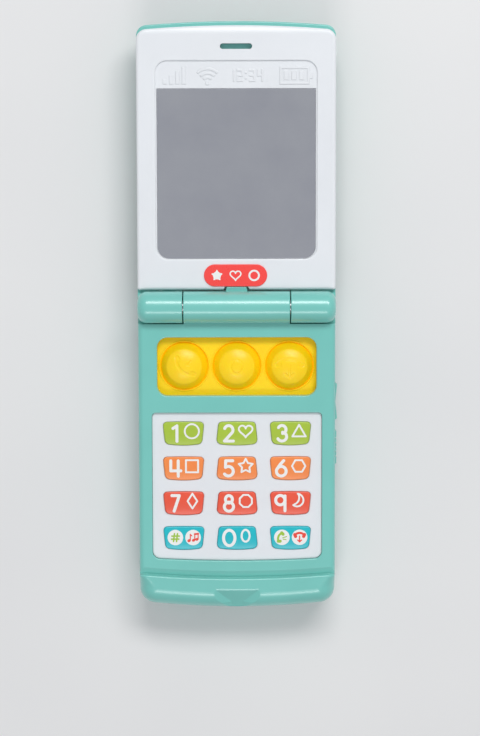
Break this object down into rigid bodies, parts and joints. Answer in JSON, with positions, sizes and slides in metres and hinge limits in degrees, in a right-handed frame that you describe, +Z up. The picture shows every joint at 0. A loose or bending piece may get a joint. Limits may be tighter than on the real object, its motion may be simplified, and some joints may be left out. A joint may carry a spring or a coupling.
{
  "type": "toy flip phone",
  "caption": "Toy flip phone with a hinged mirror lid, popping bubble buttons, a numbered keypad, side controls and a battery bay.",
  "frame": {"origin": "middle of the base's flat back face, on the surface the phone lies on", "axes": "+X to the right of the keypad, +Y along the phone from the chin to the opened lid, +Z up out of the keypad"},
  "size_m": [0.0798, 0.2356, 0.0309],
  "materials": {
    "mint_shell": "satin moulded",
    "white_panel": "smooth gloss",
    "mirror": "polished",
    "foam_tape": "matt",
    "badge_red": "gloss",
    "yellow_silicone": "soft satin",
    "key_green": "satin",
    "key_orange": "satin",
    "key_red": "satin",
    "key_blue": "satin",
    "contact_rubber": "matt",
    "board_green": "solder mask",
    "black_plastic": "matt",
    "lamp_lens": "clear domed",
    "steel": "plain",
    "spring_steel": "plated",
    "acetal": "smooth",
    "cone_paper": "fibrous",
    "cell_jacket": "printed sleeve",
    "lead_red": "insulated",
    "lead_black": "insulated",
    "lead_white": "insulated"
  },
  "bodies": {
    "base": {"base_front_shell": "mint_shell", "base_back_shell": "mint_shell", "hinge_bush_left": "acetal", "hinge_bush_right": "acetal", "bubble_pad": "yellow_silicone", "keypad_plate": "white_panel", "key_mat": "contact_rubber", "main_board": "board_green", "bubble_board": "board_green", "bubble_switches": "black_plastic", "bubble_lamps": "lamp_lens", "sound_chip": "black_plastic", "speaker": "steel", "speaker_cone": "cone_paper", "battery_1": "cell_jacket", "battery_2": "cell_jacket", "contact_springs": "spring_steel", "contact_plates": "spring_steel", "rocker_switches": "black_plastic", "slide_switch": "black_plastic", "speaker_leads": "lead_black", "battery_leads": "lead_red", "board_leads": "lead_white", "case_screws": "steel", "board_screws": "steel", "small_board_screws": "steel"},
    "lid": {"lid_back_shell": "mint_shell", "lid_bezel": "white_panel", "mirror_panel": "mirror", "mirror_tape": "foam_tape", "lid_badge": "badge_red", "lid_screws": "steel", "hinge_pin_left": "steel", "hinge_pin_right": "steel"},
    "door": {"battery_door": "mint_shell", "door_screw": "steel"},
    "rocker": {"volume_rocker": "mint_shell"},
    "slider": {"power_slider": "mint_shell"},
    "bubble_left": {"bubble_left": "yellow_silicone"},
    "bubble_middle": {"bubble_middle": "yellow_silicone"},
    "bubble_right": {"bubble_right": "yellow_silicone"},
    "key_1": {"key_1": "key_green"},
    "key_2": {"key_2": "key_green"},
    "key_3": {"key_3": "key_green"},
    "key_4": {"key_4": "key_orange"},
    "key_5": {"key_5": "key_orange"},
    "key_6": {"key_6": "key_orange"},
    "key_7": {"key_7": "key_red"},
    "key_8": {"key_8": "key_red"},
    "key_9": {"key_9": "key_red"},
    "key_music": {"key_music": "key_blue"},
    "key_0": {"key_0": "key_blue"},
    "key_call": {"key_call": "key_blue"}
  },
  "joints": [
    {"name": "lid_hinge", "type": "hinge", "parent": "base", "child": "lid", "pos_m": [0, 0.06, 0.0246], "axis": [1, 0, 0], "range_deg": [0, 180]},
    {"name": "rocker_tilt", "type": "hinge", "parent": "base", "child": "rocker", "pos_m": [0.0365, 0.0215, 0.0175], "axis": [0, 0, 1], "range_deg": [-3, 3], "stiffness_Nm_per_rad": 0.19},
    {"name": "slider_slide", "type": "slide", "parent": "base", "child": "slider", "axis": [0, -1, 0], "range_m": [0, 0.003]},
    {"name": "door_lift", "type": "slide", "parent": "base", "child": "door", "axis": [0, 0, -1], "range_m": [0, 0.012]},
    {"name": "bubble_left_press", "type": "slide", "parent": "base", "child": "bubble_left", "axis": [0, 0, -1], "range_m": [0, 0.004], "stiffness_N_per_m": 800, "springref_m": -0.0005},
    {"name": "bubble_middle_press", "type": "slide", "parent": "base", "child": "bubble_middle", "axis": [0, 0, -1], "range_m": [0, 0.004], "stiffness_N_per_m": 800, "springref_m": -0.0005},
    {"name": "bubble_right_press", "type": "slide", "parent": "base", "child": "bubble_right", "axis": [0, 0, -1], "range_m": [0, 0.004], "stiffness_N_per_m": 800, "springref_m": -0.0005},
    {"name": "key_1_press", "type": "slide", "parent": "base", "child": "key_1", "axis": [0, 0, -1], "range_m": [0, 0.0012], "stiffness_N_per_m": 1000, "springref_m": -0.0005},
    {"name": "key_2_press", "type": "slide", "parent": "base", "child": "key_2", "axis": [0, 0, -1], "range_m": [0, 0.0012], "stiffness_N_per_m": 1000, "springref_m": -0.0005},
    {"name": "key_3_press", "type": "slide", "parent": "base", "child": "key_3", "axis": [0, 0, -1], "range_m": [0, 0.0012], "stiffness_N_per_m": 1000, "springref_m": -0.0005},
    {"name": "key_4_press", "type": "slide", "parent": "base", "child": "key_4", "axis": [0, 0, -1], "range_m": [0, 0.0012], "stiffness_N_per_m": 1000, "springref_m": -0.0005},
    {"name": "key_5_press", "type": "slide", "parent": "base", "child": "key_5", "axis": [0, 0, -1], "range_m": [0, 0.0012], "stiffness_N_per_m": 1000, "springref_m": -0.0005},
    {"name": "key_6_press", "type": "slide", "parent": "base", "child": "key_6", "axis": [0, 0, -1], "range_m": [0, 0.0012], "stiffness_N_per_m": 1000, "springref_m": -0.0005},
    {"name": "key_7_press", "type": "slide", "parent": "base", "child": "key_7", "axis": [0, 0, -1], "range_m": [0, 0.0012], "stiffness_N_per_m": 1000, "springref_m": -0.0005},
    {"name": "key_8_press", "type": "slide", "parent": "base", "child": "key_8", "axis": [0, 0, -1], "range_m": [0, 0.0012], "stiffness_N_per_m": 1000, "springref_m": -0.0005},
    {"name": "key_9_press", "type": "slide", "parent": "base", "child": "key_9", "axis": [0, 0, -1], "range_m": [0, 0.0012], "stiffness_N_per_m": 1000, "springref_m": -0.0005},
    {"name": "key_music_press", "type": "slide", "parent": "base", "child": "key_music", "axis": [0, 0, -1], "range_m": [0, 0.0012], "stiffness_N_per_m": 1000, "springref_m": -0.0005},
    {"name": "key_0_press", "type": "slide", "parent": "base", "child": "key_0", "axis": [0, 0, -1], "range_m": [0, 0.0012], "stiffness_N_per_m": 1000, "springref_m": -0.0005},
    {"name": "key_call_press", "type": "slide", "parent": "base", "child": "key_call", "axis": [0, 0, -1], "range_m": [0, 0.0012], "stiffness_N_per_m": 1000, "springref_m": -0.0005}
  ]
}
